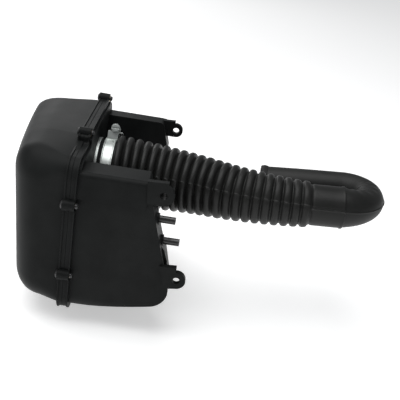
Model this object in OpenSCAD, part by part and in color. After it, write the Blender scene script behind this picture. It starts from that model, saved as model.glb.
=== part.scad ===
// Air filter housing with a corrugated intake duct.
// Millimetres. X runs from the cover to the duct side, Y from the front wall to the rear, Z up.
// The origin is the centre of the hole in the front upper mounting lug.

/* [Airbox] */
// Distance from the lug hole line back to the seam between cover and body
seam_back = 94.4; // [88:0.2:112]
// Width between the outer faces of the front and rear walls
box_w = 208; // [176:1:246]
// Height of the walls above the lug hole line
top_z = 25.5; // [22:0.5:31]
// How much lower the front part of the top is than the rest
top_step = 8.5; // [4:0.5:12]
// Where the top steps down, measured from the front wall
step_y = 57; // [50:1:66]
// Depth of the box below the lug hole line
bottom_z = 159; // [144:1:186]
// Thickness of the moulded walls
wall = 2.6; // [2:0.1:3.2]

/* [Cover] */
// Depth of the cover bowl at the top of its front side
cover_depth = 62; // [56:0.5:76]
// How much deeper the bowl is along its rear side
cover_rear_extra = 22; // [0:1:26]
// How much shallower the bowl is at its bottom
cover_lean = 8; // [0:1:12]
// Outward crown of the bowl's far wall
cover_crown = 3.5; // [0:0.5:8]
// Rounding of the bowl's far corners
cover_round = 32; // [24:1:36]

/* [Body] */
// Height of the two shoulders beside the duct, above the lug hole line
shoulder_z = 10.2; // [6:0.2:14]
// How much higher the rear shoulder is than the front one
rear_lift = 1.6; // [0:0.2:3]
// Width of the front shoulder
shoulder_front_w = 32; // [26:1:38]
// Width of the rear shoulder
shoulder_rear_w = 25; // [20:1:30]
// How far the foot of the sloping band below each shoulder stands proud of the wall
shoulder_proud = 3.4; // [1:0.2:4]
// Height of that band
shoulder_band = 22; // [16:1:26]
// Distance from the lug hole line back to the right face, at the height of the holes
face_back = 14.4; // [10:0.2:20]
// Outward lean of the right face, sideways travel for each unit of height
face_lean = 0.25; // [0.2:0.01:0.3]
// Rise of the bottom from the seam to the right face
bottom_rise = 25; // [0:1:28]
// How far the foot of the right face is set back between the shoulders, from the lug hole line
foot_back = 7; // [0:0.5:12]
// Length of the slope that leads back to it, towards the rear
foot_slope = 28; // [15:1:40]
// Depth of the collar between the seam and the wall that carries the neck
collar_depth = 8.4; // [7:0.2:12]
// Rounding between the right face and the bottom
heel_round = 22; // [18:1:34]

/* [Seam] */
// Thickness of each seam flange
flange_t = 6.2; // [5:0.1:8]
// Height of the seam flanges above the walls
flange_h = 4.2; // [3.6:0.1:6]
// Thickness of the rim along the outer edge of each flange
rim_t = 1.8; // [1:0.1:2.4]
// Height of that rim above the flange
rim_h = 1.3; // [0.6:0.1:2]
// Width of the bosses round the seam screws
boss_w = 11.4; // [10.6:0.2:14]
// Diameter of the seam screws
screw_d = 4; // [3:0.5:5]
// Diameter of the screw heads
screw_head_d = 9; // [8:0.5:10]
// Width of the gasket cord
gasket_w = 2.2; // [1.6:0.1:2.6]

/* [Mounting lugs] */
// Diameter of the lug holes
lug_hole_d = 8; // [6:0.5:9]
// Thickness of the lugs
lug_t = 6; // [4:0.5:8]
// Radius of the round end of each lug
lug_r = 10.2; // [9:0.2:12]
// Radius of the round end of the rear lug
rear_lug_r = 8.6; // [8:0.2:12]
// Distance between the front and rear upper lugs
lug_span = 198; // [166:1:236]
// How far the lower lug sits to the right of the upper ones
lower_lug_out = 26.6; // [22:0.1:34]
// How far the lower lug sits below the upper ones
lower_lug_drop = 98.2; // [85:0.1:110]

/* [Duct] */
// Outer diameter of the neck that the duct fits over
neck_d = 64.6; // [58:0.2:68]
// Length of the neck
neck_len = 22; // [20:1:28]
// Distance of the neck's axis from the front wall
neck_y = 105.5; // [96:0.5:112]
// Distance of the neck's axis below the lug hole line
neck_drop = 28; // [24:0.5:34]
// Thickness of the duct's wall
duct_wall = 2.4; // [1.8:0.1:3]
// Number of ribs
rib_count = 22; // [12:1:24]
// Distance from rib to rib
rib_pitch = 10.57; // [9:0.01:11]
// How far the crest of the first rib stands out from the neck
rib_first_out = 10; // [7:0.1:12]
// How far the crest of the last rib stands out from the elbow's plug
rib_last_out = 5.4; // [4.6:0.1:9]
// Depth of the first groove between ribs
groove_first = 5.4; // [3:0.1:6]
// Depth of the last groove between ribs
groove_last = 3; // [2:0.1:4]
// Outside diameter of the elbow where it plugs into the duct
plug_d = 42; // [36:0.5:44]
// Length of the smooth cuff at the duct's far end
cuff_len = 38; // [30:1:50]
// Sideways bend of the duct towards the front, in degrees
bend_out = 17; // [0:1:20]
// Part of that bend that stays at the far end, in degrees
bend_left = 3.5; // [0:0.5:10]
// Rise of the duct over its length
duct_rise = 14.5; // [0:0.5:18]

/* [Elbow] */
// Radius of the return bend, to the middle of the pipe
elbow_bend_r = 33; // [30:1:44]
// Angle of the return bend
elbow_turn = 175; // [165:1:180]
// Outside diameter of the return leg
return_d = 34; // [30:0.5:38]
// Length of the return leg
return_len = 92; // [60:1:104]
// Wall of the elbow
elbow_wall = 2.4; // [1.8:0.1:3]
// Outside diameter of the bead ring at the free end
lip_d = 40; // [39:0.5:44]

/* [Hose clamp] */
// Width of the clamp band
band_w = 12.4; // [9:0.2:13]
// Thickness of the clamp band
band_t = 0.9; // [0.6:0.1:1.2]
// Diameter of the clamp screw's head
clamp_head_d = 10; // [8:0.5:11]
// Height of the clamp screw's axis above the band
clamp_screw_h = 12; // [10:0.5:13]

/* [Filter element] */
// Outer diameter of the filter element
filter_d = 92; // [84:1:94]
// Length of the filter element
filter_len = 50; // [36:1:54]
// Number of pleats
pleats = 40; // [24:1:48]
// Diameter of the centre stud
stud_d = 6; // [5:0.5:8]

/* [Pipes] */
// Outer diameter of the two breather pipes
breather_d = 8; // [6:0.5:10]
// How far the breather pipes stand out of the right face
breather_out = 19.5; // [14:0.5:26]
// Outer diameter of the air intake snorkel
snorkel_d = 40; // [34:1:44]
// Outer diameter of the drain tube
drain_d = 14; // [12:0.5:16]

/* [Hidden] */

$fn = 64;
eps = 0.02;          // overlap that lets a cut pass cleanly through a face
snug = 0.05;         // gap round a piece that is pressed or screwed into a hole
slack = 0.3;         // gap between pieces that only pass each other

// places along X
seam_x = -seam_back;
back_x = seam_x + collar_depth;
// the seam outline and the box below it
top_low = top_z - top_step;
seam_round = 20;
top_round = 16;
step_round = 3;
block_round = 6;
// seam screws: places round the outline, as [y, z, outward angle]
boss_off = flange_h + rim_h;
top_boss_sink = 0.8;   // the bosses on the top stand a little lower than the others
screw_play = 0.2;      // radial room round the screws where they pass the cover
screw_up_z = -25.3;
screw_low_z = screw_up_z - 84.4;
SEAM_SCREWS = [
    [-boss_off, screw_up_z, 180], [-boss_off, screw_low_z, 180],
    [box_w + boss_off, screw_up_z, 0], [box_w + boss_off, screw_low_z, 0],
    [box_w * 0.2, -bottom_z - boss_off, 270], [box_w * 0.5, -bottom_z - boss_off, 270],
    [box_w * 0.8, -bottom_z - boss_off, 270],
    [step_y + boss_w / 2, top_z + boss_off - top_boss_sink, 90],
    [box_w - 17, top_z + boss_off - top_boss_sink, 90]];
insert_r = screw_d / 2 + 1.4;
// neck and duct
neck_r = neck_d / 2;
neck_bore_r = neck_r - wall;
duct_sides = 20;
slip = 0.1;                           // radial gap between the neck, the duct's edge and the band
cuff_r = (neck_r + slip) / cos(180 / duct_sides) + duct_wall;
duct_gap = 7.4;                       // from the neck wall to the edge of the duct
duct_x = back_x + duct_gap;
cuff_first = 13.7;                    // smooth length under the clamp
plug_r = plug_d / 2;
plug_depth = 16;
far_cuff_r = plug_r + 0.2 + duct_wall;
lead_in = 30;                         // straight length before the duct bends
bend_len = rib_pitch * 10;
duct_len = cuff_first + rib_count * rib_pitch + cuff_len;
return_r = return_d / 2;
// clamp
band_r = cuff_r + slip;
band_inset = 0.6;                     // from the duct's edge to the band
housing_offset = 3.1;                 // the housing sits towards the first rib
band_x = duct_x + band_inset;
clamp_x = band_x + band_w / 2 + housing_offset;
clamp_tilt = 25.6;                    // housing sits behind the top of the neck
clamp_r = band_r + band_t + clamp_screw_h;
// filter element
filter_r = filter_d / 2;
filter_x = back_x - wall - snug;      // face that seals against the neck wall
seal_t = 5;
cap_t = 3;
cage_r = neck_bore_r + 1.3;
media_r = filter_r - 2;
media_in_r = cage_r + slack;
stud_r = stud_d / 2;
cap_x = filter_x - filter_len;
// drain and snorkel
drain_x = seam_x + 40;
drain_y = neck_y + 15;
snorkel_x = seam_x + 42;
snorkel_z = -bottom_z + 40;
wall_foot = -bottom_z;

// ---------- outlines ----------

// Round one corner b, between neighbours a and c, with radius r
function corner(a, b, c, r, n = 8) =
    r <= 0 ? [b] :
    let(u = (a - b) / norm(a - b), v = (c - b) / norm(c - b),
        half = acos(u * v) / 2,
        mid = b + (u + v) / norm(u + v) * r / sin(half),
        from = b + u * r / tan(half) - mid,
        to = b + v * r / tan(half) - mid,
        a0 = atan2(from[1], from[0]),
        turn = atan2(to[1], to[0]) - a0,
        sweep = turn > 180 ? turn - 360 : turn < -180 ? turn + 360 : turn)
    [for (i = [0:n]) mid + r * [cos(a0 + sweep * i / n), sin(a0 + sweep * i / n)]];

// Points given as [x, y, radius]
function rounded(p) = let(n = len(p), xy = [for (q = p) [q[0], q[1]]])
    [for (i = [0:n - 1]) each corner(xy[(i + n - 1) % n], xy[i], xy[(i + 1) % n], p[i][2])];

// Seam outline in Y and Z, grown by g
function seam_outline(g) = rounded([
    [-g, -bottom_z - g, seam_round + g], [box_w + g, -bottom_z - g, seam_round + g],
    [box_w + g, top_z + g, seam_round + g], [step_y - g, top_z + g, step_round],
    [step_y - g, top_low + g, step_round], [-g, top_low + g, top_round + g]]);

// Right face of the body at height z
function face_x(z) = -face_back - face_lean * z;
// The same face as it is drawn between the shoulder and the heel
function face_at(z) = face_x(shoulder_z) + (face_x(-bottom_z) - face_x(shoulder_z))
    * (shoulder_z - z) / (shoulder_z - bottom_rise + bottom_z);

// Side outline of the block behind the neck wall, in X and Z
function side_outline(g) = rounded([
    [seam_x + 1, shoulder_z + rear_lift + g, 0],
    [face_x(shoulder_z) + g, shoulder_z + rear_lift + g, block_round + g],
    [face_x(-bottom_z) + g, bottom_rise - bottom_z - g, heel_round + g],
    [seam_x + 1, -bottom_z - g, 0]]);

// Plan of the right face's foot, set back behind the front shoulder, in X and Y
function foot_plan(g) = [[seam_x, -20], [60, -20], [60, shoulder_front_w + g],
    [face_x(-bottom_z) + g, shoulder_front_w + g], [g - foot_back, shoulder_front_w + foot_slope + g],
    [g - foot_back, box_w + 20], [seam_x, box_w + 20]];

// Front outline of the same block, in Y and Z
function block_outline(g) = rounded([
    [-g, -bottom_z - g, seam_round + g], [box_w + g, -bottom_z - g, seam_round + g],
    [box_w + g, shoulder_z + rear_lift + g, block_round + g],
    [box_w - shoulder_rear_w - 1, shoulder_z + rear_lift + g, 0], [shoulder_front_w + 1, shoulder_z + g, 0],
    [-g, shoulder_z + g, block_round + g]]);

// ---------- helpers ----------

module along_x(x0, x1) {
    translate([x0, 0, 0]) rotate([90, 0, 90]) linear_extrude(x1 - x0) children();
}

module along_y(y0, y1) {
    translate([0, y1, 0]) rotate([90, 0, 0]) linear_extrude(y1 - y0) children();
}

module rod_x(x0, x1, y, z, r) {
    translate([x0, y, z]) rotate([0, 90, 0]) cylinder(h = x1 - x0, r = r);
}

module tube_x(x0, x1, y, z, r_out, r_in) {
    difference() {
        rod_x(x0, x1, y, z, r_out);
        rod_x(x0 - 1, x1 + 1, y, z, r_in);
    }
}

// Stations of a bent pipe: [centre, heading, slope, outer radius, inner radius]
module swept_pipe(stations, n) {
    m = len(stations);
    function ring(s, r) = [for (k = [0:n - 1]) let(a = 360 * k / n, h = s[1], e = s[2])
        s[0] + r * cos(a) * [-sin(h), cos(h), 0]
             + r * sin(a) * [-sin(e) * cos(h), -sin(e) * sin(h), cos(e)]];
    pts = concat([for (s = stations) each ring(s, s[3])], [for (s = stations) each ring(s, s[4])]);
    inner = m * n;
    last = (m - 1) * n;
    faces = concat(
        [for (i = [0:m - 2], k = [0:n - 1]) let(j = (k + 1) % n)
            each [[i * n + k, (i + 1) * n + k, (i + 1) * n + j], [i * n + k, (i + 1) * n + j, i * n + j]]],
        [for (i = [0:m - 2], k = [0:n - 1]) let(j = (k + 1) % n, b = inner + i * n, c = b + n)
            each [[b + k, c + j, c + k], [b + k, b + j, c + j]]],
        [for (k = [0:n - 1]) let(j = (k + 1) % n) each [[k, j, inner + j], [k, inner + j, inner + k]]],
        [for (k = [0:n - 1]) let(j = (k + 1) % n, b = inner + last)
            each [[last + k, b + j, last + j], [last + k, b + k, b + j]]]);
    polyhedron(points = pts, faces = faces, convexity = 10);
}

// ---------- routes of the duct and the elbow ----------

// Heading of the duct's axis at length s from its edge: out towards the front, then most of the way back
function duct_heading(s) = let(t = s - lead_in)
    t <= 0 ? 0 :
    t <= bend_len ? -bend_out * t / bend_len :
    t <= 2 * bend_len ? -bend_out + (bend_out - bend_left) * (t - bend_len) / bend_len :
    -bend_left;
// Slope of the duct's axis, from level to its full rise
function duct_slope(s) = atan(2 * duct_rise * min(s, duct_len) / (duct_len * duct_len));

duct_step = rib_pitch / 4;
duct_dirs = [for (s = [0:duct_step:duct_len + duct_step])
    let(h = duct_heading(s + duct_step / 2), e = duct_slope(s)) [cos(h), sin(h), tan(e)]];
duct_pts = [for (i = 0, p = [duct_x, neck_y, -neck_drop]; i < len(duct_dirs);
    p = p + duct_step * duct_dirs[i], i = i + 1) p];
function duct_at(s) = let(i = min(floor(s / duct_step), len(duct_pts) - 2), f = s / duct_step - i)
    duct_pts[i] + f * (duct_pts[i + 1] - duct_pts[i]);

// Outer radius of the ribbed part: crests shrink evenly, grooves get shallower
function rib_share(s) = min(1, max(0, (s - cuff_first) / (rib_count * rib_pitch)));
function rib_r(s, crest) = rib_first_r + (rib_last_r - rib_first_r) * rib_share(s)
    - (1 - crest) * (groove_first + (groove_last - groove_first) * rib_share(s));
function duct_station(s, r) = [duct_at(s), duct_heading(s), duct_slope(s), r, r - duct_wall];
rib_first_r = neck_r + rib_first_out;
rib_last_r = plug_r + rib_last_out;
ribs_end = cuff_first + rib_count * rib_pitch;
duct_stations = concat(
    [duct_station(0, cuff_r), duct_station(cuff_first - 0.6, cuff_r)],
    [for (i = [0:rib_count - 1], q = [0:3]) let(s = cuff_first + (i + q / 4) * rib_pitch)
        duct_station(s, rib_r(s, (1 - cos(90 * q)) / 2))],
    [duct_station(ribs_end, far_cuff_r - 0.6), duct_station(ribs_end + 3, far_cuff_r),
        duct_station(duct_len - 1, far_cuff_r),
        [duct_at(duct_len), duct_heading(duct_len), duct_slope(duct_len), far_cuff_r - 0.5,
            far_cuff_r - duct_wall]]);

// The elbow: a straight plug, the return bend, then the return leg
elbow_start = duct_at(duct_len);
elbow_heading = duct_heading(duct_len);
plug_slope = duct_slope(duct_len);
leg_slope = -8.5;
bend_steps = 18;
leg_steps = 5;
function bend_slope(t) = plug_slope + (leg_slope - plug_slope) * t;
bend_step = elbow_bend_r * elbow_turn * PI / 180 / bend_steps;
plug_dir = [cos(elbow_heading), sin(elbow_heading), tan(plug_slope)];
bend_pts = [for (i = 0, p = elbow_start; i <= bend_steps;
    p = p + bend_step * [cos(elbow_heading + elbow_turn * (i + 0.5) / bend_steps),
        sin(elbow_heading + elbow_turn * (i + 0.5) / bend_steps), tan(bend_slope((i + 0.5) / bend_steps))],
    i = i + 1) p];
leg_heading = elbow_heading + elbow_turn;
leg_dir = [cos(leg_heading), sin(leg_heading), tan(leg_slope)];
leg_start = bend_pts[bend_steps];
leg_end = leg_start + return_len * leg_dir;
function elbow_r(t) = plug_r + (return_r - plug_r) * t;
elbow_stations = concat(
    [for (i = [0, 1]) [elbow_start - plug_depth * (1 - i) * plug_dir, elbow_heading, plug_slope,
        plug_r, plug_r - elbow_wall]],
    [for (i = [1:bend_steps]) let(t = i / bend_steps, r = elbow_r(t))
        [bend_pts[i], elbow_heading + elbow_turn * t, bend_slope(t), r, r - elbow_wall]],
    [for (i = [1:leg_steps]) [leg_start + return_len * i / leg_steps * leg_dir, leg_heading, leg_slope,
        return_r, return_r - elbow_wall]]);

// ---------- the two halves of the box ----------

// One flange of the seam: a ring round the outline with a proud rim along its outer edge
module seam_flange(x0, x1, rim_x) {
    difference() {
        union() {
            along_x(x0, x1) polygon(seam_outline(flange_h));
            along_x(rim_x, rim_x + rim_t) polygon(seam_outline(flange_h + rim_h));
        }
        along_x(x0 - 1, x1 + 1) polygon(seam_outline(-wall));
    }
}

module at_screws() {
    for (s = SEAM_SCREWS) translate([0, s[0], s[1]]) rotate([s[2], 0, 0]) children();
}

// Half-round bosses from x0 to x1 that tie back to the wall
module bosses(x0, x1) {
    at_screws() {
        rod_x(x0, x1, 0, 0, boss_w / 2);
        translate([x0, -boss_off, -boss_w / 2]) cube([x1 - x0, boss_off, boss_w]);
    }
}

module screw_holes(x0, x1, r) {
    at_screws() rod_x(x0, x1, 0, 0, r);
}

// Half ball whose round side faces away from the seam
module dome(r) {
    steps = 10;
    rotate([0, -90, 0]) rotate_extrude($fn = 4 * steps)
        polygon([[0, 0], for (i = [0:steps]) r * [cos(90 * i / steps), sin(90 * i / steps)]]);
}

// Solid bowl, grown by g, from the rounded far corners to the seam
module bowl(g) {
    r = cover_round;
    hull() {
        for (i = [0, 0.5, 1], j = [0, 1])
            translate([seam_x - cover_depth - cover_rear_extra * i + cover_lean * j + r
                - 4 * cover_crown * i * (1 - i),
                r + i * (box_w - 2 * r), j == 0 ? top_z - r : r - bottom_z])
                dome(r + g);
        along_x(seam_x - 1, seam_x) polygon(seam_outline(g));
    }
}

module gasket_ring(x0, x1, w) {
    difference() {
        along_x(x0, x1) polygon(seam_outline((flange_h - wall + w) / 2));
        along_x(x0 - 1, x1 + 1) polygon(seam_outline((flange_h - wall - w) / 2));
    }
}

module cover_shell() {
    color([0.16, 0.17, 0.17]) difference() {
        union() {
            bowl(0);
            seam_flange(seam_x - flange_t, seam_x, seam_x - flange_t);
            bosses(seam_x - flange_t, seam_x);
        }
        bowl(-wall);
        along_x(seam_x - 1 - eps, seam_x + 1) polygon(seam_outline(-wall));
        gasket_ring(seam_x - 1.6, seam_x + 1, gasket_w);
        screw_holes(seam_x - flange_t - 1, seam_x + 1, screw_d / 2 + screw_play);
    }
}

// Space between the shoulders where the duct lies, grown by g
module trough(g) {
    along_x(back_x - g, 60) polygon(rounded([
        [shoulder_front_w - g, 60, 0], [shoulder_front_w - g, -neck_drop - neck_d * 0.74 - g, 22],
        [box_w - shoulder_rear_w + g, -neck_drop - neck_d * 0.74 - g, 22],
        [box_w - shoulder_rear_w + g, 60, 0]]));
}

// Body without its hollow, grown by g
module body_solid(g, x0) {
    difference() {
        union() {
            along_x(x0, back_x + g) polygon(seam_outline(g));
            intersection() {
                along_y(-g, box_w + g) polygon(side_outline(g));
                along_x(seam_x + 1, 60) polygon(block_outline(g));
                translate([0, 0, -bottom_z - 20]) linear_extrude(bottom_z + 60) polygon(foot_plan(g));
            }
        }
        trough(-g);
    }
}

// Sloping band along the upper edge of each shoulder: it leaves the wall at the top and stands proud below
module shoulder_band_at(y, out, top) {
    along_x(seam_x + flange_t, face_x(shoulder_z) + 1)
        polygon([[y, top], [y + out * shoulder_proud, top - shoulder_band], [y - out * wall, top - shoulder_band],
            [y - out * wall, top]]);
}
module shoulder_bands() {
    shoulder_band_at(0, -1, shoulder_z - block_round);
    shoulder_band_at(box_w, 1, shoulder_z + rear_lift - block_round);
}

// Lug plates in X and Z, with a straight tab that carries the round end
module upper_lug_plate(y, r, tab_x, tab_z) {
    along_y(y - lug_t / 2, y + lug_t / 2) union() {
        circle(r = r);
        polygon([[-18, tab_z - 1], [tab_x, tab_z], [tab_x, r / 2], [0, -r], [-16, -r]]);
    }
}

// Where the lower lug's plate is rooted in the right face, z above the hole
lug_root = 4;
function lower_root(z) = face_at(z - lower_lug_drop) - lug_root - lower_lug_out;
// Low rib on the right face above the lower lug
module lug_gusset() {
    reach = 3.6;
    top = 16 - lower_lug_drop;
    along_y(8, 11) polygon([[face_at(top + 20) - 1, top + 20], [face_at(top + 13) + reach - 1, top + 13],
        [face_at(top) + reach, top], [face_at(top - 8) + reach - 1, top - 8], [face_at(top - 8) - 1, top - 8]]);
}

module lower_lug_plate() {
    along_y(-lug_t / 2, lug_t / 2) translate([lower_lug_out, -lower_lug_drop]) union() {
        circle(r = lug_r);
        polygon([[lower_root(15), 15], [-1.5, 16], [-1.5, 9], [0, -lug_r], [lower_root(-lug_r - 2), -lug_r - 2]]);
    }
}

module lug_holes() {
    along_y(-lug_t, lug_t) circle(d = lug_hole_d);
    along_y(lug_span - lug_t, lug_span + lug_t) circle(d = lug_hole_d);
    along_y(-lug_t, lug_t) translate([lower_lug_out, -lower_lug_drop]) circle(d = lug_hole_d);
}

// Bridge from the rear lug out to the rear wall
module rear_lug_root() {
    translate([-22, lug_span - lug_t / 2, -lug_r]) cube([8, box_w - lug_span + lug_t / 2, 20]);
}

front_lug_r = lug_r + 1.2;    // the front upper lug is a little wider than the lower one
breather_y = shoulder_front_w / 2 + 2;
breather_z = [-37, -62.5];
breather_boss = 2;    // how far the bosses of the breather pipes stand proud
module breather_bosses() {
    for (i = [0, 1]) let(x = face_at(breather_z[i]))
        rod_x(x - 8, x + breather_boss, breather_y, breather_z[i], breather_d / 2 + 2.5);
}
module breather_bores() {
    for (i = [0, 1]) let(x = face_at(breather_z[i]))
        rod_x(x - 20, x + 20, breather_y, breather_z[i], breather_d / 2 - 0.2 + snug);
}

module body_shell() {
    color([0.13, 0.13, 0.14]) difference() {
        union() {
            difference() {
                union() {
                    body_solid(0, seam_x);
                    shoulder_bands();
                    lug_gusset();
                    upper_lug_plate(0, front_lug_r, 4, shoulder_z + 4.8);
                    upper_lug_plate(lug_span, rear_lug_r, -2, shoulder_z + 2);
                    rear_lug_root();
                    lower_lug_plate();
                }
                body_solid(-wall, seam_x - 1);
            }
            seam_flange(seam_x, seam_x + flange_t, seam_x + flange_t - rim_t);
            difference() {
                bosses(seam_x, seam_x + flange_t);
                along_x(seam_x - 1, back_x - wall) polygon(seam_outline(-wall));
            }
            breather_bosses();
            rod_x(back_x - eps, back_x + neck_len, neck_y, -neck_drop, neck_r);
        }
        rod_x(back_x - wall - 1, back_x + neck_len + 1, neck_y, -neck_drop, neck_bore_r);
        screw_holes(seam_x - 1, seam_x + flange_t + 1, insert_r + snug);
        lug_holes();
        breather_bores();
        translate([snorkel_x, box_w + 10, snorkel_z]) rotate([90, 0, 0]) cylinder(h = 30, d = snorkel_d + 2 * snug);
        translate([drain_x, drain_y, wall_foot - 5]) cylinder(h = 20, d = drain_d + 2 * snug);
    }
}

module seam_gasket() {
    color([0.08, 0.08, 0.08]) gasket_ring(seam_x - 1.6, seam_x, gasket_w);
}

module seam_screws() {
    head_x = seam_x - flange_t;
    color([0.2, 0.2, 0.21]) at_screws() {
        rod_x(head_x - 0.5, seam_x + flange_t + 3, 0, 0, screw_d / 2);
        translate([head_x, 0, 0]) intersection() {
            translate([2, 0, 0]) sphere(d = screw_head_d + 2);
            rod_x(-4, 0, 0, 0, screw_head_d / 2);
        }
    }
}

module seam_inserts() {
    color([0.62, 0.55, 0.35]) at_screws()
        tube_x(seam_x, seam_x + flange_t, 0, 0, insert_r, screw_d / 2 + snug);
}

// ---------- neck, duct and elbow ----------

module neck_collar() {
    color([0.75, 0.76, 0.76])
        tube_x(back_x, back_x + 4, neck_y, -neck_drop, cuff_r + 1, neck_r + snug);
}

module duct() {
    color([0.15, 0.15, 0.14]) swept_pipe(duct_stations, duct_sides);
}

module elbow() {
    color([0.18, 0.18, 0.17]) swept_pipe(elbow_stations, duct_sides);
}

// Bead ring over the end of the return leg
module elbow_lip() {
    lip_len = 9;
    cover = 5;
    color([0.1, 0.1, 0.1]) translate(leg_end) rotate([0, 90 - leg_slope, leg_heading])
        difference() {
            translate([0, 0, -cover]) rotate_extrude() polygon(rounded([
                [1, 0, 0], [lip_d / 2 - 1, 0, 0], [lip_d / 2, lip_len / 2, 4], [lip_d / 2 - 1, lip_len, 0],
                [1, lip_len, 0]]));
            translate([0, 0, -cover - 1]) cylinder(h = cover + 1, r = return_r + 0.1);
            cylinder(h = 20, r = return_r - elbow_wall, center = true);
        }
}

// ---------- hose clamp ----------

module clamp_band() {
    color([0.78, 0.8, 0.79]) tube_x(band_x, band_x + band_w, neck_y, -neck_drop, band_r + band_t, band_r);
}

// Frame of the clamp housing: Z points away from the neck, Y along the screw
module at_clamp() {
    translate([clamp_x, neck_y, -neck_drop]) rotate([-clamp_tilt, 0, 0]) children();
}

module clamp_housing() {
    base = band_r + band_t;
    wide = band_w + 4.5;
    foot = wide - 4.6;                        // the foot stops short of the first rib
    shelf_r = rib_first_r + 0.5;              // the shelf passes over it
    long = 17;
    color([0.75, 0.77, 0.77]) at_clamp() difference() {
        union() {
            translate([-wide / 2, -long / 2, base - 1.5]) cube([foot, long, clamp_screw_h - 2]);
            translate([-wide / 2, -long / 2, shelf_r]) cube([wide, long, 1.6]);
            translate([0, long / 2, clamp_r]) rotate([90, 0, 0]) cylinder(h = long, d = clamp_head_d - 1);
        }
        translate([0, long, clamp_r]) rotate([90, 0, 0])
            cylinder(h = 3 * long, r = clamp_head_d / 2 - 2 + snug);
        rotate([0, 90, 0]) cylinder(h = 60, r = base + snug, center = true);
    }
}

module clamp_screw() {
    long = 17;
    color([0.8, 0.82, 0.82]) at_clamp() translate([0, 0, clamp_r]) rotate([90, 0, 0]) difference() {
        union() {
            cylinder(h = long + 1, r = clamp_head_d / 2 - 2, center = true);
            translate([0, 0, long / 2 + snug]) cylinder(h = 5, d = clamp_head_d);
        }
        translate([-clamp_head_d, -0.7, long / 2 + 3]) cube([2 * clamp_head_d, 1.4, 5]);
    }
}

// ---------- breather pipes ----------

module breather_pipe(i) {
    x = face_at(breather_z[i]);
    color([0.2, 0.2, 0.2]) difference() {
        union() {
            rod_x(x - 8, x + breather_boss + 1, breather_y, breather_z[i], breather_d / 2 - 0.2);
            rod_x(x + breather_boss, x + breather_out, breather_y, breather_z[i], breather_d / 2);
        }
        rod_x(x - 9, x + breather_out + 1, breather_y, breather_z[i], breather_d / 2 - 1.3);
    }
}
module breather_pipe_upper() { breather_pipe(0); }
module breather_pipe_lower() { breather_pipe(1); }

// ---------- filter element and its stud ----------

module filter_seal() {
    color([0.12, 0.12, 0.13]) difference() {
        rod_x(filter_x - seal_t, filter_x, neck_y, -neck_drop, filter_r);
        rod_x(filter_x - seal_t - 1, filter_x + 1, neck_y, -neck_drop, neck_bore_r);
        rod_x(filter_x - seal_t - 1, filter_x - seal_t + 2, neck_y, -neck_drop, media_r + slack);
    }
}

module filter_cage() {
    bars = 12;
    x0 = cap_x;
    x1 = filter_x - seal_t + 2;
    color([0.25, 0.25, 0.25]) {
        for (x = [x0, (x0 + x1) / 2 - 1.5, x1 - 3])
            tube_x(x, x + 3, neck_y, -neck_drop, cage_r, cage_r - 2.4);
        for (i = [0:bars - 1]) translate([0, neck_y, -neck_drop]) rotate([360 * i / bars, 0, 0])
            translate([x0, -1.5, cage_r - 2.2]) cube([x1 - x0, 3, 2]);
    }
}

// Pleated paper: a thin zigzag ring
module filter_media() {
    sheet = 2;
    function zigzag(r0, r1) = [for (i = [0:2 * pleats - 1]) let(a = 180 * i / pleats, r = i % 2 == 0 ? r0 : r1)
        [neck_y + r * cos(a), -neck_drop + r * sin(a)]];
    color([0.85, 0.8, 0.66]) along_x(cap_x + 0.1, filter_x - seal_t + 2) difference() {
        polygon(zigzag(media_r, media_in_r + sheet));
        polygon(zigzag(media_r - sheet, media_in_r));
    }
}

module filter_end_cap() {
    color([0.2, 0.2, 0.22]) difference() {
        union() {
            rod_x(cap_x - cap_t, cap_x, neck_y, -neck_drop, filter_r);
            tube_x(cap_x - eps, cap_x + 4, neck_y, -neck_drop, filter_r, media_r + slack);
            rod_x(cap_x - eps, cap_x + 6, neck_y, -neck_drop, stud_r + 3);
        }
        rod_x(cap_x - 20, cap_x + 20, neck_y, -neck_drop, stud_r + 0.2);
    }
}

// Steel strap across the mouth of the neck that carries the stud
module stud_bracket() {
    strap_t = 2;
    color([0.7, 0.71, 0.72]) difference() {
        union() {
            translate([back_x - wall - strap_t + 3, neck_y - 6, -neck_drop - neck_bore_r + snug])
                cube([strap_t, 12, 2 * neck_bore_r - 2 * snug]);
            rod_x(back_x - wall + 1, back_x - wall + 7, neck_y, -neck_drop, stud_r + 3);
        }
        rod_x(back_x - 20, back_x + 20, neck_y, -neck_drop, stud_r + snug);
        difference() {
            rod_x(back_x - 20, back_x + 20, neck_y, -neck_drop, neck_r + 20);
            rod_x(back_x - 21, back_x + 21, neck_y, -neck_drop, neck_bore_r - snug);
        }
    }
}

module centre_stud() {
    color([0.72, 0.73, 0.74])
        rod_x(cap_x - cap_t - 13, back_x - wall + 7, neck_y, -neck_drop, stud_r);
}

module stud_washer() {
    color([0.1, 0.1, 0.1])
        tube_x(cap_x - cap_t - 1.5, cap_x - cap_t, neck_y, -neck_drop, stud_r + 5, stud_r + 0.1);
}

module wing_nut() {
    x1 = cap_x - cap_t - 1.5;
    color([0.75, 0.76, 0.78]) difference() {
        union() {
            rod_x(x1 - 7, x1, neck_y, -neck_drop, stud_r + 3);
            for (a = [0, 180]) translate([x1 - 1, neck_y, -neck_drop]) rotate([a, 0, 0]) rotate([0, -65, 0])
                translate([1, -1.2, 0]) cube([6, 2.4, 14]);
        }
        rod_x(x1 - 20, x1 + 5, neck_y, -neck_drop, stud_r + snug);
        rod_x(x1, x1 + 20, neck_y, -neck_drop, 40);
    }
}

// ---------- intake snorkel on the rear wall ----------

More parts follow.
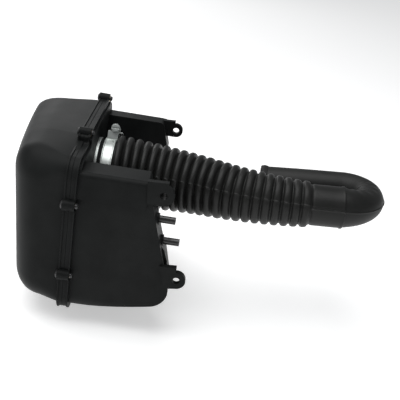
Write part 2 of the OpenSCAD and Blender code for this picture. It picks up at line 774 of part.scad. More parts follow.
module intake_snorkel() {
    color([0.14, 0.14, 0.14]) difference() {
        translate([snorkel_x, box_w + 12, snorkel_z]) rotate([90, 0, 0]) difference() {
            union() {
                cylinder(h = 12 + wall + 6, d = snorkel_d);
                translate([0, 0, 12 - 2.5]) cylinder(h = 2.5 - snug, d = snorkel_d + 6);
            }
            translate([0, 0, -1]) cylinder(h = 40, d = snorkel_d - 5);
        }
    }
}

module intake_screen() {
    hole = 3.2;
    step = 5;
    r = snorkel_d / 2 - 2.5 - snug;
    color([0.55, 0.56, 0.57]) translate([snorkel_x, box_w, snorkel_z]) rotate([90, 0, 0]) difference() {
        cylinder(h = 1.5, r = r);
        for (i = [-3:3], j = [-3:3]) if (norm([i, j]) * step < r - 3)
            translate([i * step - hole / 2, j * step - hole / 2, -1]) cube([hole, hole, 4]);
    }
}

// ---------- drain ----------

module drain_tube() {
    color([0.14, 0.14, 0.14]) translate([drain_x, drain_y, wall_foot]) difference() {
        union() {
            translate([0, 0, -16]) cylinder(h = 16 + wall + 2, d = drain_d);
            translate([0, 0, -2.5]) cylinder(h = 2.5 - snug, d = drain_d + 5);
        }
        translate([0, 0, -20]) cylinder(h = 30, d = drain_d - 5);
    }
}

module drain_plug() {
    color([0.09, 0.09, 0.1]) translate([drain_x, drain_y, wall_foot - 19]) difference() {
        cylinder(h = 13, d = drain_d + 4.6);
        translate([0, 0, 2.5]) cylinder(h = 20, d = drain_d + 0.1);
    }
}

module drain_clip() {
    r = drain_d / 2 + 2.3;
    color([0.7, 0.72, 0.73]) translate([drain_x, drain_y, wall_foot - 13]) difference() {
        union() {
            cylinder(h = 5, r = r + 1.1);
            for (s = [-1, 1]) translate([r - 0.5, s * 2.5 - 0.6, 0]) cube([6, 1.2, 5]);
        }
        translate([0, 0, -1]) cylinder(h = 8, r = r + snug);
        translate([r - 1, -1.9, -1]) cube([6, 3.8, 8]);
    }
}

body_shell();
cover_shell();
seam_gasket();
seam_screws();
seam_inserts();
neck_collar();
duct();
elbow();
elbow_lip();
clamp_band();
clamp_housing();
clamp_screw();
breather_pipe_upper();
breather_pipe_lower();
filter_cage();
filter_media();
filter_seal();
filter_end_cap();
stud_bracket();
centre_stud();
stud_washer();
wing_nut();
intake_snorkel();
intake_screen();
drain_tube();
drain_plug();
drain_clip();
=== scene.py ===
import math
import bmesh
import bpy
from mathutils import Matrix, Vector


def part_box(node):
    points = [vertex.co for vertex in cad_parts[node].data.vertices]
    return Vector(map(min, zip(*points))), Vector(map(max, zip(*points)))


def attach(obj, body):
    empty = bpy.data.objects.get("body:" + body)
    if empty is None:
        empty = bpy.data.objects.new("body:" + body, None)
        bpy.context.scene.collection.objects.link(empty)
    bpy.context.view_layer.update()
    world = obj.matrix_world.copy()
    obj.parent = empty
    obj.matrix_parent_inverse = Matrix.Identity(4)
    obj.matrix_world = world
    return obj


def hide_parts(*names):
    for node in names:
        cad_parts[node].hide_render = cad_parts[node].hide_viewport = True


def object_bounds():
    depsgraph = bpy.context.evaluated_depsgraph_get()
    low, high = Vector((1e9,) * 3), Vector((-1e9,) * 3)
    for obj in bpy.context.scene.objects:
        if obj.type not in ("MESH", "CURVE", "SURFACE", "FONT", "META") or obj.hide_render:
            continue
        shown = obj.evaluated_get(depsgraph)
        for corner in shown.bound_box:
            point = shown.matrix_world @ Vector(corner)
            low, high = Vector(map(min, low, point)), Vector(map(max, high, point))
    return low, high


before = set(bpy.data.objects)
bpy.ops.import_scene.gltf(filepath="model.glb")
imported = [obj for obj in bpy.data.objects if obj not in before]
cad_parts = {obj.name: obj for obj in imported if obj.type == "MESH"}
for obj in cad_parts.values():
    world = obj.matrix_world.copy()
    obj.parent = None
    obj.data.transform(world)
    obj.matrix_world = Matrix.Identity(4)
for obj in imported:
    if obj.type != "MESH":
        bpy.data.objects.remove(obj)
cad_low, cad_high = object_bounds()

# ---------------------------------------------------------------- camera, floor and light
# The box is looked at from in front and above, with the duct running off to the right and the
# camera rolled ten degrees. The floor is pale and wide, and the light comes from large soft boxes.

camera = bpy.data.objects.new("camera", bpy.data.cameras.new("camera"))
bpy.context.scene.collection.objects.link(camera)
bpy.context.scene.camera = camera
pitch, yaw, roll = math.radians(25.6), math.radians(2.6), math.radians(10.0)
camera_place = (0.010, -0.5986, 0.2882)
camera.data.lens = 58.5
camera.data.clip_end = 50
ahead = Vector((math.sin(yaw) * math.cos(pitch), math.cos(yaw) * math.cos(pitch),
                -math.sin(pitch)))
level = Vector((math.cos(yaw), -math.sin(yaw), 0))
down = ahead.cross(level)
right = level * math.cos(roll) - down * math.sin(roll)
low = level * math.sin(roll) + down * math.cos(roll)
camera.matrix_world = Matrix.Translation(camera_place) @ Matrix(
    (right, -low, -ahead)).transposed().to_4x4()

bpy.context.scene.view_settings.view_transform = "Standard"

floor_material = bpy.data.materials.new("pale floor")
floor_material.use_nodes = True
floor_shader = floor_material.node_tree.nodes["Principled BSDF"]
floor_shader.inputs["Base Color"].default_value = (0.93, 0.93, 0.93, 1)
floor_shader.inputs["Roughness"].default_value = 0.9
floor_shader.inputs["Specular IOR Level"].default_value = 0.0
floor_shader.inputs["Emission Color"].default_value = (1, 1, 1, 1)
floor_shader.inputs["Emission Strength"].default_value = 0.46
floor_half, floor_back, floor_gap = 8, 2, 0.002
floor_bm = bmesh.new()
bmesh.ops.create_grid(floor_bm, x_segments=1, y_segments=1, size=floor_half,
                      matrix=Matrix.Translation((0, floor_back, cad_low.z - floor_gap)))
floor_mesh = bpy.data.meshes.new("floor")
floor_bm.to_mesh(floor_mesh)
floor = bpy.data.objects.new("floor", floor_mesh)
floor_mesh.materials.append(floor_material)
bpy.context.scene.collection.objects.link(floor)

world = bpy.data.worlds.new("studio")
bpy.context.scene.world = world
world.use_nodes = True
world.node_tree.nodes["Background"].inputs["Color"].default_value = (0.96, 0.98, 1.0, 1)
world.node_tree.nodes["Background"].inputs["Strength"].default_value = 0.26


def soft_box(name, place, aim, width, height, power):
    """A wide rectangular lamp at a place, turned towards its aim."""
    lamp = bpy.data.lights.new(name, "AREA")
    lamp.shape, lamp.size, lamp.size_y, lamp.energy = "RECTANGLE", width, height, power
    box = bpy.data.objects.new(name, lamp)
    bpy.context.scene.collection.objects.link(box)
    box.matrix_world = Matrix.Translation(place) @ (
        Vector(aim) - Vector(place)).to_track_quat("-Z", "Y").to_matrix().to_4x4()


soft_box("top box", (-0.35, 0.0, 1.3), (0.0, 0.1, 0), 1.4, 1.4, 18)
soft_box("back box", (-1.25, 2.5, 1.1), (-0.05, 0.1, 0), 1.9, 1.5, 15)
soft_box("left box", (-1.5, -0.3, 0.9), (-0.05, 0.1, 0), 1.0, 1.0, 2)

# ---------------------------------------------------------------- body shell
# The fixed half of the airbox: an injection-moulded black plastic tray with two shoulders beside
# the duct, a trough between them, three lugs and the neck. Its edges come out of the mould soft.


def moulded(name, colour, roughness, grain=0.35, dust=0.4, grain_size=900.0, specular=0.4):
    """Plastic or rubber with a fine grain, a little unevenness in its gloss and faint dust on top."""
    material = bpy.data.materials.new(name)
    material.use_nodes = True
    nodes, links = material.node_tree.nodes, material.node_tree.links
    shader = nodes["Principled BSDF"]
    shader.inputs["Specular IOR Level"].default_value = specular
    place = nodes.new("ShaderNodeTexCoord")
    fine = nodes.new("ShaderNodeTexNoise")
    fine.inputs["Scale"].default_value = grain_size
    fine.inputs["Detail"].default_value = 3
    wide = nodes.new("ShaderNodeTexNoise")
    wide.inputs["Scale"].default_value = 22
    wide.inputs["Detail"].default_value = 6
    wide.inputs["Roughness"].default_value = 0.62
    for noise in (fine, wide):
        links.new(place.outputs["Object"], noise.inputs["Vector"])
    tint = nodes.new("ShaderNodeValToRGB")
    clean, dusty = tint.color_ramp.elements
    clean.position, dusty.position = 0.34, 0.74
    clean.color = (*[c * (1 - 0.35 * dust) for c in colour], 1)
    dusty.color = (*[c * (1 + dust) for c in colour], 1)
    links.new(wide.outputs["Fac"], tint.inputs["Fac"])
    links.new(tint.outputs["Color"], shader.inputs["Base Color"])
    gloss = nodes.new("ShaderNodeMapRange")
    gloss.inputs["From Min"].default_value = 0.3
    gloss.inputs["From Max"].default_value = 0.7
    gloss.inputs["To Min"].default_value = roughness - 0.05
    gloss.inputs["To Max"].default_value = roughness + 0.07
    links.new(wide.outputs["Fac"], gloss.inputs["Value"])
    links.new(gloss.outputs["Result"], shader.inputs["Roughness"])
    bump = nodes.new("ShaderNodeBump")
    bump.inputs["Strength"].default_value = grain
    bump.inputs["Distance"].default_value = 0.0002
    links.new(fine.outputs["Fac"], bump.inputs["Height"])
    links.new(bump.outputs["Normal"], shader.inputs["Normal"])
    return material


def finished(bm, name, body, material, replaced=(), sharp=40):
    """Makes the mesh a piece: smooth faces with crisp edges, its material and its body."""
    mesh = bpy.data.meshes.new(name)
    bm.to_mesh(mesh)
    bm.free()
    mesh.shade_smooth()
    mesh.set_sharp_from_angle(angle=math.radians(sharp))
    piece = bpy.data.objects.new(name, mesh)
    bpy.context.scene.collection.objects.link(piece)
    mesh.materials.append(material)
    normals = piece.modifiers.new("even normals", "WEIGHTED_NORMAL")
    normals.keep_sharp = True
    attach(piece, body)
    if replaced:
        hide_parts(*replaced)
    return piece


def bevel_sharp(bm, width, segments=2, above=32):
    """Rounds the edges whose faces meet more sharply than the given angle."""
    bm.normal_update()
    edges = [e for e in bm.edges
             if len(e.link_faces) == 2 and e.calc_face_angle(0) > math.radians(above)]
    bmesh.ops.bevel(bm, geom=edges, offset=width, offset_type="OFFSET", segments=segments,
                    profile=0.5, affect="EDGES", clamp_overlap=True, material=-1)


def merged_copy(node):
    """A welded copy of a CAD node's mesh, with its flat faces joined up again."""
    bm = bmesh.new()
    bm.from_mesh(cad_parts[node].data)
    weld, flat = 2e-5, math.radians(0.6)
    bmesh.ops.remove_doubles(bm, verts=bm.verts, dist=weld)
    bmesh.ops.dissolve_limit(bm, angle_limit=flat, verts=bm.verts, edges=bm.edges)
    return bm


shell_black = moulded("shell black", (0.0120, 0.0128, 0.0127), 0.42, specular=0.06)
body_bm = merged_copy("body_shell")
bevel_sharp(body_bm, 0.001, 3)
finished(body_bm, "airbox_body", "airbox", shell_black, ["body_shell"])

# ---------------------------------------------------------------- cover shell
# The lid: a deep bowl with very soft corners, moulded in the same plastic, with a flange all round
# its mouth. Nine half-round bosses on the flange take the screws.

mm = 0.001
seam_x, box_w, top_z, top_low, bottom_z, step_y = -94.4, 208.0, 25.5, 17.0, 159.0, 57.0
wall, flange_t, flange_h, rim_t, rim_h = 2.6, 6.2, 4.2, 1.8, 1.3
arc_steps = 12


def rounded(corners, steps=arc_steps):
    """A closed outline from corner points [y, z, radius], with an arc at each corner."""
    line = []
    for i, (y, z, radius) in enumerate(corners):
        here = Vector((y, z))
        back = (Vector(corners[i - 1][:2]) - here).normalized()
        on = (Vector(corners[(i + 1) % len(corners)][:2]) - here).normalized()
        half = math.acos(max(-1, min(1, back.dot(on)))) / 2
        middle = here + (back + on).normalized() * radius / math.sin(half)
        start = here + back * radius / math.tan(half) - middle
        end = here + on * radius / math.tan(half) - middle
        first = math.atan2(start.y, start.x)
        turn = (math.atan2(end.y, end.x) - first + math.pi) % (2 * math.pi) - math.pi
        for k in range(steps + 1):
            angle = first + turn * k / steps
            line.append(middle + radius * Vector((math.cos(angle), math.sin(angle))))
    return line


seam_r, step_r, front_r = 20, 3, 16


def seam_outline(grow):
    """The seam's outline, with the low step at its top front, grown outwards."""
    return rounded([
        (-grow, -bottom_z - grow, seam_r + grow), (box_w + grow, -bottom_z - grow, seam_r + grow),
        (box_w + grow, top_z + grow, seam_r + grow), (step_y - grow, top_z + grow, step_r),
        (step_y - grow, top_low + grow, step_r), (-grow, top_low + grow, front_r + grow)])


def bridged(bm, rings, closed=False):
    """Draws a skin through rings of equally many points, in millimetres, by extruding the first."""
    row = [bm.verts.new(Vector(p) * mm) for p in rings[0]]
    edges = [bm.edges.new((row[k - 1], row[k])) for k in range(len(row))]
    rows = [row]
    for ring in rings[1:] + (rings[:1] if closed else []):
        made = bmesh.ops.extrude_edge_only(bm, edges=edges)["geom"]
        fresh = {v for v in made if isinstance(v, bmesh.types.BMVert)}
        edges = [e for e in made if isinstance(e, bmesh.types.BMEdge) and fresh.issuperset(e.verts)]
        row = [next(e.other_vert(v) for e in v.link_edges if e.other_vert(v) in fresh) for v in row]
        for v, p in zip(row, ring):
            v.co = Vector(p) * mm
        rows.append(row)
    if closed:
        bmesh.ops.remove_doubles(bm, verts=rows[0] + rows[-1], dist=1e-7)
    return rows


front_depth, rear_gain, far_crown, foot_loss = 62.0, 22, 14, 8
mean_depth, far_reach, far_soft = 74, 32.0, 31.0
mouth_corner_r, corner_gain, corner_eased = 18, 17, 0.7
top_break_y, top_break_r, side_cuts, squaring, foot_z = step_y + 12, 70, 9, 0.4, -60


def bowl_depth(y, z):
    """How far the far wall is from the seam: more at the rear, less at the foot, a little crowned."""
    across = min(1, max(0, y / box_w))
    crowned = front_depth + rear_gain * across + far_crown * across * (1 - across)
    return crowned - foot_loss * (top_z - z) / (top_z + bottom_z)


def bowl_ring(share, thin):
    """One ring of the bowl, a share of the way from the seam to the far wall."""
    left = max(0.0, 1 - share) * mean_depth
    bend = max(0.0, 1 - left / far_reach)
    inset = far_soft * (1 - math.sqrt(1 - bend * bend)) + thin
    ease = min(1, share / corner_eased)
    corner_r = mouth_corner_r + corner_gain * ease * ease * (3 - 2 * ease)
    front_z = top_low + (top_z - top_low) * min(0.96, share * 1.2) ** 0.8
    arcs = rounded([
        (inset, inset - bottom_z, corner_r - inset),
        (box_w - inset, inset - bottom_z, corner_r - inset),
        (box_w - inset, top_z - inset, corner_r - inset),
        (top_break_y, top_z - inset, top_break_r),
        (inset, front_z - inset, max(1, corner_r - 2 - inset))])
    ring = []
    for k, here in enumerate(arcs):
        on = arcs[(k + 1) % len(arcs)]
        cuts = side_cuts if k % (arc_steps + 1) == arc_steps else 1
        ring += [here.lerp(on, c / cuts) for c in range(cuts)]
    tighter = squaring * (inset - thin)
    squared = [(y + tighter * max(0, y / box_w - 0.5),
                z + tighter * max(0, y / box_w) * (z > foot_z)) for y, z in ring]
    return [(seam_x - share * (bowl_depth(y, z) - thin), y, z) for y, z in squared]


def bowl_rings(thin):
    """One skin of the bowl, from the seam to the middle of its far wall."""
    steps, crowding = 30, 0.9
    rings = [bowl_ring(math.sin(math.pi / 2 * k / steps) ** crowding, thin)
             for k in range(steps + 1)]
    middle = Vector((0, box_w / 2, (top_z - bottom_z) / 2))
    for share in (0.82, 0.6, 0.36, 0.14):
        rings.append([(seam_x - bowl_depth(q[1], q[2]) + thin, q[1], q[2]) for q in
                      [middle.lerp(Vector(p), share) for p in rings[steps]]])
    return rings


cover_bm = bmesh.new()
rows = bridged(cover_bm, bowl_rings(0.0)[::-1] + bowl_rings(wall))
for row in (rows[0], rows[-1]):
    cover_bm.faces.new(row)
bmesh.ops.recalc_face_normals(cover_bm, faces=cover_bm.faces)


def flange(bm, profile):
    """A ring round the seam, from a closed profile of [x, outward] points."""
    bridged(bm, [[(x, y, z) for y, z in seam_outline(out)] for x, out in profile], closed=True)


def added(bm, other):
    """Joins another mesh to this one as a separate closed shell."""
    mesh = bpy.data.meshes.new("part")
    other.to_mesh(mesh)
    other.free()
    bm.from_mesh(mesh)
    bpy.data.meshes.remove(mesh)


rim_x = seam_x - flange_t
rim_out = flange_h + rim_h
root_far, root_near, seam_chamfer = 0.6, 1.2, 0.5
flange_bm = bmesh.new()
flange(flange_bm, [(rim_x, -root_far), (rim_x, rim_out), (rim_x + rim_t, rim_out),
                   (rim_x + rim_t, flange_h), (seam_x - seam_chamfer, flange_h),
                   (seam_x, flange_h - seam_chamfer), (seam_x, -root_near)])
bmesh.ops.recalc_face_normals(flange_bm, faces=flange_bm.faces)
bevel_sharp(flange_bm, 0.0005)
added(cover_bm, flange_bm)

boss_off, boss_r, top_sink = rim_out, 5.7, 0.8
screw_up, screw_low = -25.3, -109.7
screw_places = [
    (-boss_off, screw_up, 180), (-boss_off, screw_low, 180), (box_w + boss_off, screw_up, 0),
    (box_w + boss_off, screw_low, 0), (box_w * 0.2, -bottom_z - boss_off, 270),
    (box_w * 0.5, -bottom_z - boss_off, 270), (box_w * 0.8, -bottom_z - boss_off, 270),
    (step_y + boss_r, top_z + boss_off - top_sink, 90),
    (box_w - 17, top_z + boss_off - top_sink, 90)]


def at_screw(y, z, turn):
    """The place of a screw's axis on the seam, turned so that its boss points outwards."""
    return Matrix.Translation(Vector((0, y, z)) * mm) @ Matrix.Rotation(math.radians(turn), 4, "X")


def prism(outline, x0, x1, place, softness):
    """A closed bar along X with the given outline of [y, z] points, moved into place."""
    part = bmesh.new()
    bridged(part, [[(x, y, z) for y, z in outline] for x in (x0, x1)])
    bmesh.ops.holes_fill(part, edges=[e for e in part.edges if e.is_boundary])
    bmesh.ops.remove_doubles(part, verts=part.verts, dist=1e-5)
    bmesh.ops.recalc_face_normals(part, faces=part.faces)
    bevel_sharp(part, softness, 3, 50)
    bmesh.ops.transform(part, matrix=place, verts=part.verts)
    return part


def boss(bm, place, x0, x1):
    """One half-round boss along X, a little wider at its foot."""
    foot, foot_out, crown_r = boss_r + 0.6, -boss_off + 0.2, boss_r - 0.05
    outline = rounded([(-foot, foot_out, 0.01), (-boss_r, boss_r, crown_r),
                       (boss_r, boss_r, crown_r), (foot, foot_out, 0.01)], 10)
    added(bm, prism([(out, across) for across, out in outline], x0, x1, place, 0.0009))


for place in screw_places:
    boss(cover_bm, at_screw(*place), rim_x - 0.6, seam_x)
finished(cover_bm, "airbox_cover", "cover", shell_black, ["cover_shell"])

# ---------------------------------------------------------------- seam screws
# Black pan-head screws that go through the cover's bosses into inserts in the body. Each head is a
# plain low dome, and the rounded tip shows past the body's flange.

dark_steel = moulded("dark steel", (0.02, 0.02, 0.021), 0.33, grain=0.15, dust=0.5,
                     grain_size=2400, specular=0.6)


def turned(profile, steps=48):
    """A closed solid of revolution about X, from [x, radius] points in millimetres."""
    bm = bmesh.new()
    verts = [bm.verts.new((x * mm, r * mm, 0)) for x, r in profile]
    edges = [bm.edges.new(pair) for pair in zip(verts, verts[1:])]
    bmesh.ops.spin(bm, geom=verts + edges, cent=(0, 0, 0), axis=(1, 0, 0), angle=2 * math.pi,
                   steps=steps, use_merge=True)
    bmesh.ops.remove_doubles(bm, verts=bm.verts, dist=1e-6)
    bmesh.ops.recalc_face_normals(bm, faces=bm.faces)
    return bm


screws_bm = bmesh.new()
nub_x = seam_x + flange_t + 3.4
for place in screw_places:
    head = turned([(rim_x - 3.0, 0), (rim_x - 2.9, 1.8), (rim_x - 2.5, 3.3), (rim_x - 1.8, 4.2),
                   (rim_x - 0.9, 4.6), (rim_x - 0.5, 4.6), (rim_x - 0.5, 2), (nub_x - 3.0, 2),
                   (nub_x - 3.0, 3.0), (nub_x - 1.2, 2.9), (nub_x - 0.3, 2.2), (nub_x, 1.0),
                   (nub_x, 0)], 24)
    bmesh.ops.transform(head, matrix=at_screw(*place), verts=head.verts)
    added(screws_bm, head)
finished(screws_bm, "seam_screw_set", "screws", dark_steel, ["seam_screws"])

# ---------------------------------------------------------------- corrugated duct
# One moulded rubber bellows that tapers from the clamp to a smooth cuff. The ribs are round-topped
# with narrow grooves, and the mould's parting line runs along its side.

rib_count, rib_pitch, cuff_first, cuff_len = 22, 10.57, 13.7, 38.0
duct_len = cuff_first + rib_count * rib_pitch + cuff_len
ribs_end = duct_len - cuff_len
duct_wall = 2.4
duct_start = Vector((-78.6, 105.5, -28.0))
straight_len, bend_len, bend_out, bend_left, duct_rise = 30, 105.7, 17.0, 3.5, 14.5


def duct_heading(s):
    """Which way the duct points, in degrees, after a length s of it: out, then partly back."""
    t = s - straight_len
    if t <= 0:
        return 0.0
    if t <= bend_len:
        return -bend_out * t / bend_len
    if t <= 2 * bend_len:
        return -bend_out + (bend_out - bend_left) * (t - bend_len) / bend_len
    return -bend_left


def duct_slope(s):
    """How steeply the duct climbs there, in degrees."""
    return math.degrees(math.atan(2 * duct_rise * min(s, duct_len) / duct_len ** 2))


def direction(heading, slope):
    """A step along a heading, climbing by the slope."""
    h, e = math.radians(heading), math.radians(slope)
    return Vector((math.cos(h), math.sin(h), math.tan(e)))


duct_line = [duct_start]
path_step = 0.5
for k in range(int(duct_len / path_step) + 4):
    middle = (k + 0.5) * path_step
    onward = direction(duct_heading(middle), duct_slope(middle))
    duct_line.append(duct_line[-1] + path_step * onward)


def duct_at(s):
    """The duct's middle after a length s of it."""
    k = int(s / path_step)
    return duct_line[k].lerp(duct_line[k + 1], s / path_step - k)


def pipe_ring(centre, heading, slope, radius, angles):
    """A ring across a pipe; radius is a number or a function of the angle round the pipe."""
    h, e = math.radians(heading), math.radians(slope)
    side = Vector((-math.sin(h), math.cos(h), 0))
    up = Vector((-math.sin(e) * math.cos(h), -math.sin(e) * math.sin(h), math.cos(e)))
    ring = []
    for angle in angles:
        a = math.radians(angle)
        r = radius(angle) if callable(radius) else radius
        ring.append(centre + r * math.cos(a) * side + r * math.sin(a) * up)
    return ring


def around(step, *lines):
    """Angles round a pipe, with close ones on both sides of each parting line."""
    angles = {round(a, 3) for k in range(round(360 / step)) for a in [k * step]
              if all(abs((a - line + 180) % 360 - 180) > 2.6 for line in lines)}
    for line in lines:
        angles |= {round((line + d) % 360, 3) for d in (-2.2, -1.1, -0.55, 0, 0.55, 1.1, 2.2)}
    return sorted(angles)


def parted(radius, height, *lines):
    """A radius with a small ridge at each parting line."""
    return lambda angle: radius + sum(
        height * max(0, 1 - abs((angle - line + 180) % 360 - 180) / 2.0) for line in lines)


crest_first, crest_last, groove_first, groove_last = 42.3, 26.4, 5.4, 3.0
rib_fill, rib_power = 0.84, 2.3


def rib_radius(s):
    """The ribbed part's radius: round-topped ribs that get smaller and shallower towards the cuff."""
    share = (s - cuff_first) / (rib_count * rib_pitch)
    crest = crest_first + (crest_last - crest_first) * share
    depth = groove_first + (groove_last - groove_first) * share
    u = abs(2 * (((s - cuff_first) / rib_pitch) % 1) - 1)
    full = math.sqrt(max(0.0, 1 - (u / rib_fill) ** rib_power))
    return crest - depth * (1 - full)


duct_black = moulded("duct rubber", (0.0104, 0.0106, 0.0100), 0.43, grain=0.5, dust=0.5,
                     grain_size=700, specular=0.24)
part_line, cuff_line = 157.0, 168.0
rib_ridge, cuff_ridge, rib_thinning = 0.6, 1.2, 1.0
sleeve_r, cuff_r, neck_bore_r, cuff_bore_r = 35.2, 23.6, 32.4, 21.2
duct_angles = around(6, part_line, part_line + 180, cuff_line)
rings = [(0.0, sleeve_r - 0.6), (0.6, sleeve_r), (12.4, sleeve_r), (13.1, sleeve_r)]
rings += [(cuff_first + k * rib_pitch / 12, None) for k in range(12 * rib_count + 1)]
rings += [(ribs_end + 1.2, 22.6), (ribs_end + 2.4, 23.4), (ribs_end + 4, cuff_r),
          (ribs_end + 14, cuff_r), (ribs_end + 24, cuff_r), (duct_len - 3.5, cuff_r),
          (duct_len - 3.0, 24.3), (duct_len - 0.9, 24.3), (duct_len - 0.2, 23.9),
          (duct_len, 23.2)]


def duct_ring(s, radius):
    """A ring across the duct after a length s of it."""
    return pipe_ring(duct_at(s), duct_heading(s), duct_slope(s), radius, duct_angles)


outer, inner = [], []
for s, r in rings:
    if r is None:
        skin = parted(rib_radius(s), rib_ridge, part_line, part_line + 180)
    elif s > ribs_end:
        skin = parted(r, cuff_ridge, part_line + 4, cuff_line, part_line + 180)
    else:
        skin = r
    outer.append(duct_ring(s, skin))
for s, r in rings[::2]:
    bore = rib_radius(s) - rib_thinning if r is None else r
    inner.append(duct_ring(s, bore - duct_wall))
inner[0] = duct_ring(0, neck_bore_r)
inner[-1] = duct_ring(duct_len, cuff_bore_r)
duct_bm = bmesh.new()
bridged(duct_bm, outer + inner[::-1], closed=True)
bmesh.ops.recalc_face_normals(duct_bm, faces=duct_bm.faces)
finished(duct_bm, "corrugated_duct", "airbox", duct_black, ["duct"], sharp=60)

# ---------------------------------------------------------------- return elbow
# A separate rubber pipe that plugs into the duct's cuff and turns back on itself. Its inner side
# is creased by the tight bend, and one parting line runs round the outside.

elbow_start = duct_at(duct_len)
elbow_heading, plug_slope, leg_slope = -bend_left, duct_slope(duct_len), -8.5
elbow_turn, elbow_bend_r, return_len, return_r, elbow_wall = 175.0, 33.0, 92.0, 17.0, 2.4
plug_r, throat_gain, crease_depth, bend_ridge, leg_ridge, leg_flare = 21.0, 5.8, 3.8, 0.9, 0.5, 1.2
bend_steps = 54
bend_run = elbow_bend_r * math.radians(elbow_turn) / bend_steps
elbow_line = [elbow_start]
for k in range(bend_steps):
    t = (k + 0.5) / bend_steps
    elbow_line.append(elbow_line[-1] + bend_run * direction(
        elbow_heading + elbow_turn * t, plug_slope + (leg_slope - plug_slope) * t))
leg = direction(elbow_heading + elbow_turn, leg_slope)
sag = 1.2


def lifted(point, share):
    """The elbow arches up a little between the cuff and its free end."""
    return point + Vector((0, 0, sag * math.sin(math.pi * share) ** 0.8))


elbow_parting = 169.0
elbow_angles = around(6, elbow_parting)


def elbow_skin(inside):
    """Rings from the plug, round the bend and down the return leg."""
    thin = elbow_wall if inside else 0.0
    plug = direction(elbow_heading, plug_slope)
    rings = [pipe_ring(elbow_start - d * plug, elbow_heading, plug_slope, plug_r - thin,
                       elbow_angles) for d in (16, 8, 1)]
    for k in range(bend_steps + 1):
        t = k / bend_steps
        full = return_r + throat_gain * max(0.0, 1 - t / 0.5) ** 1.2
        swell = full if not inside else plug_r + (return_r - plug_r) * t - thin
        fold = math.sin(math.pi * min(1, t / 0.7)) * math.sin(math.pi * t / 0.115) ** 2
        crease = 0.0 if inside else fold

        def radius(angle, swell=swell, crease=crease):
            """The bend's radius, pressed in by a crease on its inner side."""
            inner_side = max(0.0, math.cos(math.radians(angle - 40))) ** 2
            ridged = parted(swell, 0.0 if inside else bend_ridge, elbow_parting)(angle)
            return ridged - crease_depth * crease * inner_side

        rings.append(pipe_ring(lifted(elbow_line[k], 0.5 * t), elbow_heading + elbow_turn * t,
                               plug_slope + (leg_slope - plug_slope) * t, radius, elbow_angles))
    for k in range(1, 13):
        flare, ridge = (0, 0) if inside else (leg_flare * k / 12, leg_ridge)
        rings.append(pipe_ring(lifted(elbow_line[-1] + return_len * k / 12 * leg, 0.5 + k / 24),
                               elbow_heading + elbow_turn, leg_slope,
                               parted(return_r - thin + flare, ridge, elbow_parting),
                               elbow_angles))
    return rings


elbow_black = moulded("elbow rubber", (0.0115, 0.0118, 0.0112), 0.46, grain=0.4, dust=0.4,
                      grain_size=800, specular=0.26)
elbow_bm = bmesh.new()
bridged(elbow_bm, elbow_skin(False) + elbow_skin(True)[::-1], closed=True)
bmesh.ops.recalc_face_normals(elbow_bm, faces=elbow_bm.faces)
finished(elbow_bm, "return_elbow", "airbox", elbow_black, ["elbow"], sharp=60)

# ---------------------------------------------------------------- bead ring
# A fat rubber ring over the free end, which seals against whatever the elbow is pushed onto.

seal_black = moulded("seal rubber", (0.009, 0.009, 0.0092), 0.6, grain=0.4, dust=0.3,
                     grain_size=1100, specular=0.3)
lip_bm = merged_copy("elbow_lip")
bevel_sharp(lip_bm, 0.0005)
finished(lip_bm, "elbow_bead", "airbox", seal_black, ["elbow_lip"])

# ---------------------------------------------------------------- hose clamp
# A bright zinc-plated worm-drive clamp. The band has rolled edges, and its housing carries a screw
# with a slotted hexagon head.


def plated(name, colour, roughness, brushing=0.25, along=(60.0, 900.0, 900.0)):
    """Plated or bare steel, faintly brushed, with cloudy patches in its gloss."""
    material = bpy.data.materials.new(name)
    material.use_nodes = True
    nodes, links = material.node_tree.nodes, material.node_tree.links
    shader = nodes["Principled BSDF"]
    shader.inputs["Metallic"].default_value = 1.0
    place = nodes.new("ShaderNodeTexCoord")
    stretch = nodes.new("ShaderNodeMapping")
    stretch.inputs["Scale"].default_value = along
    brush = nodes.new("ShaderNodeTexNoise")
    brush.inputs["Scale"].default_value = 1.0
    brush.inputs["Detail"].default_value = 4
    cloud = nodes.new("ShaderNodeTexNoise")
    cloud.inputs["Scale"].default_value = 90
    cloud.inputs["Detail"].default_value = 5
    links.new(place.outputs["Object"], stretch.inputs["Vector"])
    links.new(stretch.outputs["Vector"], brush.inputs["Vector"])
    links.new(place.outputs["Object"], cloud.inputs["Vector"])
    tint = nodes.new("ShaderNodeValToRGB")
    dull, bright = tint.color_ramp.elements
    dull.position, bright.position = 0.3, 0.7
    dull.color = (*[c * 0.82 for c in colour], 1)
    bright.color = (*colour, 1)
    links.new(cloud.outputs["Fac"], tint.inputs["Fac"])
    links.new(tint.outputs["Color"], shader.inputs["Base Color"])
    gloss = nodes.new("ShaderNodeMapRange")
    gloss.inputs["To Min"].default_value = roughness - 0.08
    gloss.inputs["To Max"].default_value = roughness + 0.12
    links.new(cloud.outputs["Fac"], gloss.inputs["Value"])
    links.new(gloss.outputs["Result"], shader.inputs["Roughness"])
    bump = nodes.new("ShaderNodeBump")
    bump.inputs["Strength"].default_value = brushing
    bump.inputs["Distance"].default_value = 0.0001
    links.new(brush.outputs["Fac"], bump.inputs["Height"])
    links.new(bump.outputs["Normal"], shader.inputs["Normal"])
    return material


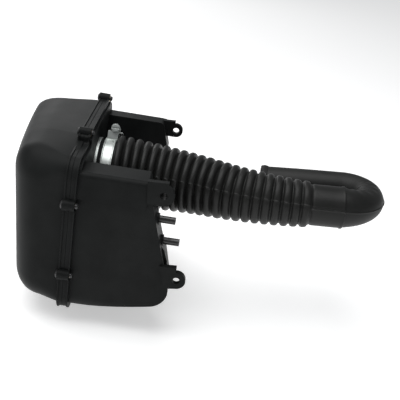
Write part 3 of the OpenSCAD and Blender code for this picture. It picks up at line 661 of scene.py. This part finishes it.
zinc = plated("bright zinc", (0.60, 0.63, 0.61), 0.36)
band_low, band_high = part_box("clamp_band")
band_x0, band_x1 = band_low.x / mm, band_high.x / mm
band_r = 35.3
band_in, band_out, roll_side, roll_top = (band_r + rise for rise in (0.3, 0.9, 1.5, 1.7))
neck_axis = Matrix.Translation((0, 0.1055, -0.028))
band_bm = turned([(band_x0, roll_side), (band_x0 + 0.5, roll_top), (band_x0 + 1.3, roll_side),
                  (band_x0 + 1.7, band_out), (band_x1 - 1.7, band_out), (band_x1 - 1.3, roll_side),
                  (band_x1 - 0.5, roll_top), (band_x1, roll_side), (band_x1, band_in),
                  (band_x0, band_in), (band_x0, roll_side)], 160)
bmesh.ops.transform(band_bm, matrix=neck_axis, verts=band_bm.verts)
finished(band_bm, "hose_clamp_band", "airbox", zinc, ["clamp_band"], sharp=60)
housing_bm = merged_copy("clamp_housing")
bevel_sharp(housing_bm, 0.0008, 3)
finished(housing_bm, "hose_clamp_housing", "airbox", zinc, ["clamp_housing"])
worm_bm = merged_copy("clamp_screw")
bevel_sharp(worm_bm, 0.0006, 3)
worm_axis = Vector((0, -0.901833, 0.432086))
worm_place = Vector((-0.0687, 0.126328, 0.015472))
head_end = max((v.co - worm_place).dot(worm_axis) for v in worm_bm.verts) / mm
head_turn = Matrix.Translation(worm_place) @ worm_axis.to_track_quat("X", "Z").to_matrix().to_4x4()
head_r, half_slot, slot_steps = 4.2, 0.7, 14
for half in (-1, 1):
    start = math.asin(half_slot / head_r)
    arc = [start + (math.pi - 2 * start) * k / slot_steps for k in range(slot_steps + 1)]
    added(worm_bm, prism([(head_r * math.cos(a), half * head_r * math.sin(a)) for a in arc],
                         head_end - 0.2, head_end + 1.3, head_turn, 0.0003))
finished(worm_bm, "hose_clamp_screw", "clamp_worm", zinc, ["clamp_screw"])

# ---------------------------------------------------------------- neck ring, a painted highlight
# A thin ring in bright zinc at the root of the neck, where the duct's edge is pushed up to. It is a
# painted highlight: it stands for the shine on the glossy plastic neck.

highlight_ring_bm = merged_copy("neck_collar")
bevel_sharp(highlight_ring_bm, 0.0008, 4)
# the bright zinc on this ring is a painted highlight for the plastic neck's shine
finished(highlight_ring_bm, "neck_highlight_ring", "airbox", zinc, ["neck_collar"])

# ---------------------------------------------------------------- breather pipes
# Two glossy hard plastic tubes pressed into bosses on the right face, for small hoses.

pipe_black = moulded("pipe black", (0.016, 0.016, 0.016), 0.24, grain=0.1, dust=0.3, specular=0.6)
for node in ("breather_pipe_upper", "breather_pipe_lower"):
    pipe_bm = merged_copy(node)
    bevel_sharp(pipe_bm, 0.0006, 3)
    finished(pipe_bm, node + "_tube", "airbox", pipe_black, [node])

# ---------------------------------------------------------------- pieces that keep their CAD shape
# Seals, inserts, the filter element with its stud, the snorkel and the drain: their shape is already
# right, so they only take their finish here.

paper = moulded("filter paper", (0.62, 0.53, 0.34), 0.85, grain=0.9, dust=0.25,
                grain_size=500, specular=0.2)
brass = plated("turned brass", (0.75, 0.58, 0.28), 0.35)
cap_black = moulded("cap black", (0.02, 0.02, 0.021), 0.5, grain=0.3)
for node, material in {
    "seam_gasket": seal_black, "seam_inserts": brass, "filter_cage": cap_black, "filter_media": paper,
    "filter_seal": seal_black, "filter_end_cap": cap_black, "stud_bracket": zinc, "centre_stud": zinc,
    "stud_washer": seal_black, "wing_nut": zinc, "intake_snorkel": seal_black, "intake_screen": zinc,
    "drain_tube": pipe_black, "drain_plug": seal_black, "drain_clip": zinc}.items():
    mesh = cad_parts[node].data
    mesh.materials.clear()
    mesh.materials.append(material)
